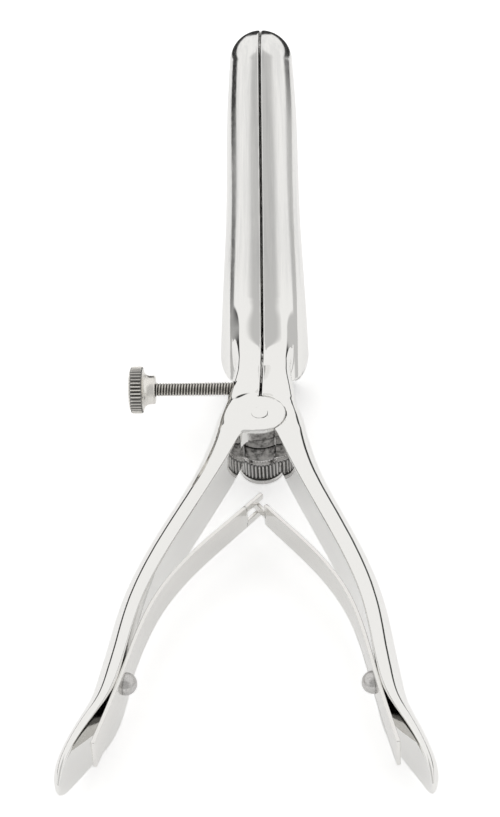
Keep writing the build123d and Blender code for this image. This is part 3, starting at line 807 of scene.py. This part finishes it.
def adjustingKnob(material):
    s = knob
    clear = s["clear"]
    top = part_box("adjusting_knob")[1].z / mm
    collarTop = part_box("thrust_washer")[0].z / mm - clear
    pinsLow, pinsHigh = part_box("retaining_pins")
    grooveLow = pinsLow.z / mm - clear
    grooveHigh = pinsHigh.z / mm + clear
    bandTop = s["flange"] + s["band"]
    ledge = bandTop + s["chamfer"]
    flange = s["flangeRadius"]
    inner = s["neck"] - s["groove"]
    small = s["smallEdge"]
    outline = [
        (0, 0), (flange - s["round"], 0), (flange - small, small), (flange, s["round"]),
        (flange, s["flange"] - s["edge"]), (flange - s["edge"], s["flange"]), (s["core"], s["flange"]),
        (s["core"], bandTop + s["round"]), (s["core"] - 0.3, ledge), (s["collar"] + small, ledge),
        (s["collar"], ledge + small), (s["collar"], collarTop - s["edge"]),
        (s["collar"] - s["edge"], collarTop), (s["neck"], collarTop), (s["neck"], grooveLow),
        (inner, grooveLow), (inner, grooveHigh), (s["neck"], grooveHigh), (s["neck"], top),
        (s["hole"], top), (s["hole"], s["floor"]), (0, s["floor"]),
    ]
    values = {"Teeth": s["teeth"], "Radius": s["radius"] - s["toothRidge"],
              "Length": ledge - s["flange"] - 0.1, "Ridge": s["toothRidge"]}
    teeth, loops = grown("knob_teeth", teethTree(), values, material)
    points, faces = joined(turnedPiece(outline, 96), (teeth + (0, 0, s["flange"]), loops))
    name = "adjusting_knob_knurled"
    mesh = meshFrom(name, points, faces, 28)
    return dressed(name, mesh, "knob", material, "turned_steel", "adjusting_knob")


# The leaf springs: points on the right one's middle line, and its rivet's place and heading
leaf = {"thick": 1.1, "seat": 0.03, "z": 12.6, "footWidth": 9.0, "tipWidth": 7.2, "tail": 25.0,
        "tailTurn": 1.5, "slot": 3.1, "tongue": 2.5, "depth": 3.6, "clear": 0.6, "past": 2.0,
        "crossY": -28.2, "edge": 0.3, "bodyStep": 1.4, "endStep": 0.8,
        "points": [(29.2, -80.0), (24.7, -65.0), (15.6, -48.6), (7.6, -38.0)],
        "rivet": (32.6, -93.0, 12.0)}


def leafLine():  # the right spring's middle line from tail to tip, as a function of its length
    x, y, heading = leaf["rivet"]
    off = leaf["thick"] / 2 + leaf["seat"]
    a = math.radians(heading)
    seat = np.array((x - off * math.cos(a), y - off * math.sin(a)))
    b = math.radians(heading + leaf["tailTurn"])
    tail = seat + np.array((math.sin(b), -math.cos(b))) * leaf["tail"]
    last = np.array(leaf["points"][-1])
    cross = np.array((0.0, leaf["crossY"]))
    slope = (cross - last) / np.linalg.norm(cross - last)
    stops = np.array([tail, seat, *leaf["points"], cross, cross + slope * leaf["past"]])
    lengths = np.concatenate([[0], np.cumsum(np.linalg.norm(np.diff(stops, axis=0), axis=1))])
    return curveThrough(lengths, stops), lengths


def ringOf(wide, thick, edge, corners=4):  # rounded rectangle, across the leaf and through it
    ring = []
    for cx, cz, start in ((1, 1, 0), (-1, 1, 90), (-1, -1, 180), (1, -1, 270)):
        for k in range(corners + 1):
            turn = math.radians(start + 90 * k / corners)
            ring.append((cx * (thick / 2 - edge) + edge * math.cos(turn),
                         cz * (wide / 2 - edge) + edge * math.sin(turn)))
    return np.array(ring)


def strip(at, side, stations, widths, middles):  # a swept leaf with rounded ends
    points = []
    for s, wide, middle in zip(stations, widths, middles):
        x, y = at(np.array([s]))[0]
        dx, dy = at(np.array([s]), 1)[0]
        size = math.hypot(dx, dy)
        across = np.array((dy / size, -dx / size))
        end = min(s - stations[0], stations[-1] - s)
        shrink = leaf["edge"] * (1 - math.sqrt(max(0.0, 1 - (1 - min(end / leaf["edge"], 1)) ** 2)))
        ring = ringOf(wide - 2 * shrink, leaf["thick"] - 2 * shrink * 0.8, leaf["edge"] * 0.8)
        for through, up in ring:
            points.append((side * (x + across[0] * through), y + across[1] * through, middle + up))
    count = len(points) // len(stations)
    faces = []
    for row in range(len(stations) - 1):
        for k in range(count):
            a, b = row * count + k, row * count + (k + 1) % count
            faces.append((a, b, b + count, a + count) if side > 0 else (a, a + count, b + count, b))
    first = tuple(range(count))
    last = tuple(range(len(points) - count, len(points)))
    faces.append(first[::-1] if side > 0 else first)
    faces.append(last if side > 0 else last[::-1])
    return np.array(points), faces


def stationsBetween(start, end, step):
    edge = leaf["edge"]
    ends = [0, edge * 0.15, edge * 0.45, edge]
    middle = np.linspace(start + edge, end - edge, max(3, int((end - start) / step)))
    return np.array([start + e for e in ends[:-1]] + list(middle) + [end - e for e in ends[::-1]][1:])


def leafSpring(side, material):
    at, lengths = leafLine()
    total = lengths[-1]
    seatAt = lengths[1]
    crossAt = lengths[-2]
    steep = abs(at(np.array([crossAt]), 1)[0][1])
    rootAt = crossAt - (leaf["depth"] - (leaf["clear"] if side > 0 else 0)) / steep

    def width(s):
        share = np.clip((s - seatAt) / (crossAt - seatAt), 0, 1)
        return leaf["footWidth"] + (leaf["tipWidth"] - leaf["footWidth"]) * share

    body = stationsBetween(0.0, rootAt, leaf["bodyStep"])
    parts = [strip(at, side, body, width(body), np.full(len(body), leaf["z"]))]
    rest = stationsBetween(rootAt - 1.0, total, leaf["endStep"])
    if side > 0:  # the right leaf ends in a tongue, the left one in a fork
        same = np.ones(len(rest))
        parts.append(strip(at, side, rest, leaf["tongue"] * same, leaf["z"] * same))
    else:
        prong = (width(rest) - leaf["slot"]) / 2
        for up in (1, -1):
            parts.append(strip(at, side, rest, prong, leaf["z"] + up * (leaf["slot"] + prong) / 2))
    points, faces = joined(*parts)
    name = "right" if side > 0 else "left"
    mesh = meshFrom(name + "_leaf", points, faces, 40)
    piece = dressed(name + "_leaf", mesh, None, material, "spring_steel", name + "_leaf_spring")
    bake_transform(piece)
    return piece


def carvedLever(side, material):
    name = "right_lever" if side > 0 else "left_lever"
    low, high = ((-8.0, -128.5, -0.6), (49.0, 100.0, 86.0)) if side > 0 else \
        ((-49.0, -128.5, -0.6), (8.0, 100.0, 86.0))
    lever = carve(name + "_forging", lambda p: leverField(p, side), low, high, 0.42)
    lever.data.materials.append(material)
    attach(lever, "right_side" if side > 0 else "left_side")
    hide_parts(name)


def carvedRearBlade(material):
    blade = carve("rear_blade_forging", rearBladeField, (-14.0, -8.5, 0.0), (14.0, 100.0, 86.0), 0.45)
    blade.data.materials.append(material)
    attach(blade, "rear_blade")
    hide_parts("third_blade")


look = makeCamera()
screwAxis = (0, lockScrew["y"], lockScrew["z"])
# painted shade in the thread and knurl grooves: axis point, direction, full-shade radius, unshaded radius
# and, for knurls, the core radius
screwThreadShade = (screwAxis, (1, 0, 0), lockScrew["stem"] - 0.3, lockScrew["stem"] - 0.05)
screwCore = lockScrew["core"]
screwKnurlShade = (screwAxis, (1, 0, 0), screwCore + 0.2, screwCore + 0.42, screwCore - 0.02)
knobKnurlShade = ((0, 0, 0), (0, 0, 1), knob["core"] + 0.15, knob["core"] + 0.4, knob["core"] - 0.02)
polished = polishedSteel()
thread = turnedSteel("threadedSteel", (0.82, 0.80, 0.76), 0.22, 3000, 0.000003, 0.8, [screwThreadShade])
satin = turnedSteel("satinNickel", (0.84, 0.82, 0.78), 0.24, 3000, 0.000005, 0.8, [screwKnurlShade])
turned = turnedSteel("turnedSteel", (0.60, 0.59, 0.58), 0.25, 2500, 0.000006, 0.72)
knurled = turnedSteel("knurledSteel", (0.72, 0.71, 0.70), 0.22, 2500, 0.000006, 0.72, [knobKnurlShade])
spring = turnedSteel("springSteel", (0.82, 0.81, 0.79), 0.14, 2500, 0.000001, 0.93)
print("camera and finishes ready")
carvedLever(1, polished)
carvedLever(-1, polished)
carvedRearBlade(polished)
lockStem(thread)
lockHead(satin)
adjustingKnob(knurled)
leafSpring(1, spring)
leafSpring(-1, spring)
for name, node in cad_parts.items():
    node.data.materials.clear()
    node.data.materials.append(polished if name == "pivot_post" else turned)
print("CAD pieces dressed")
makeWorld(look)
makeFloor()
bpy.context.scene.view_settings.view_transform = "Standard"
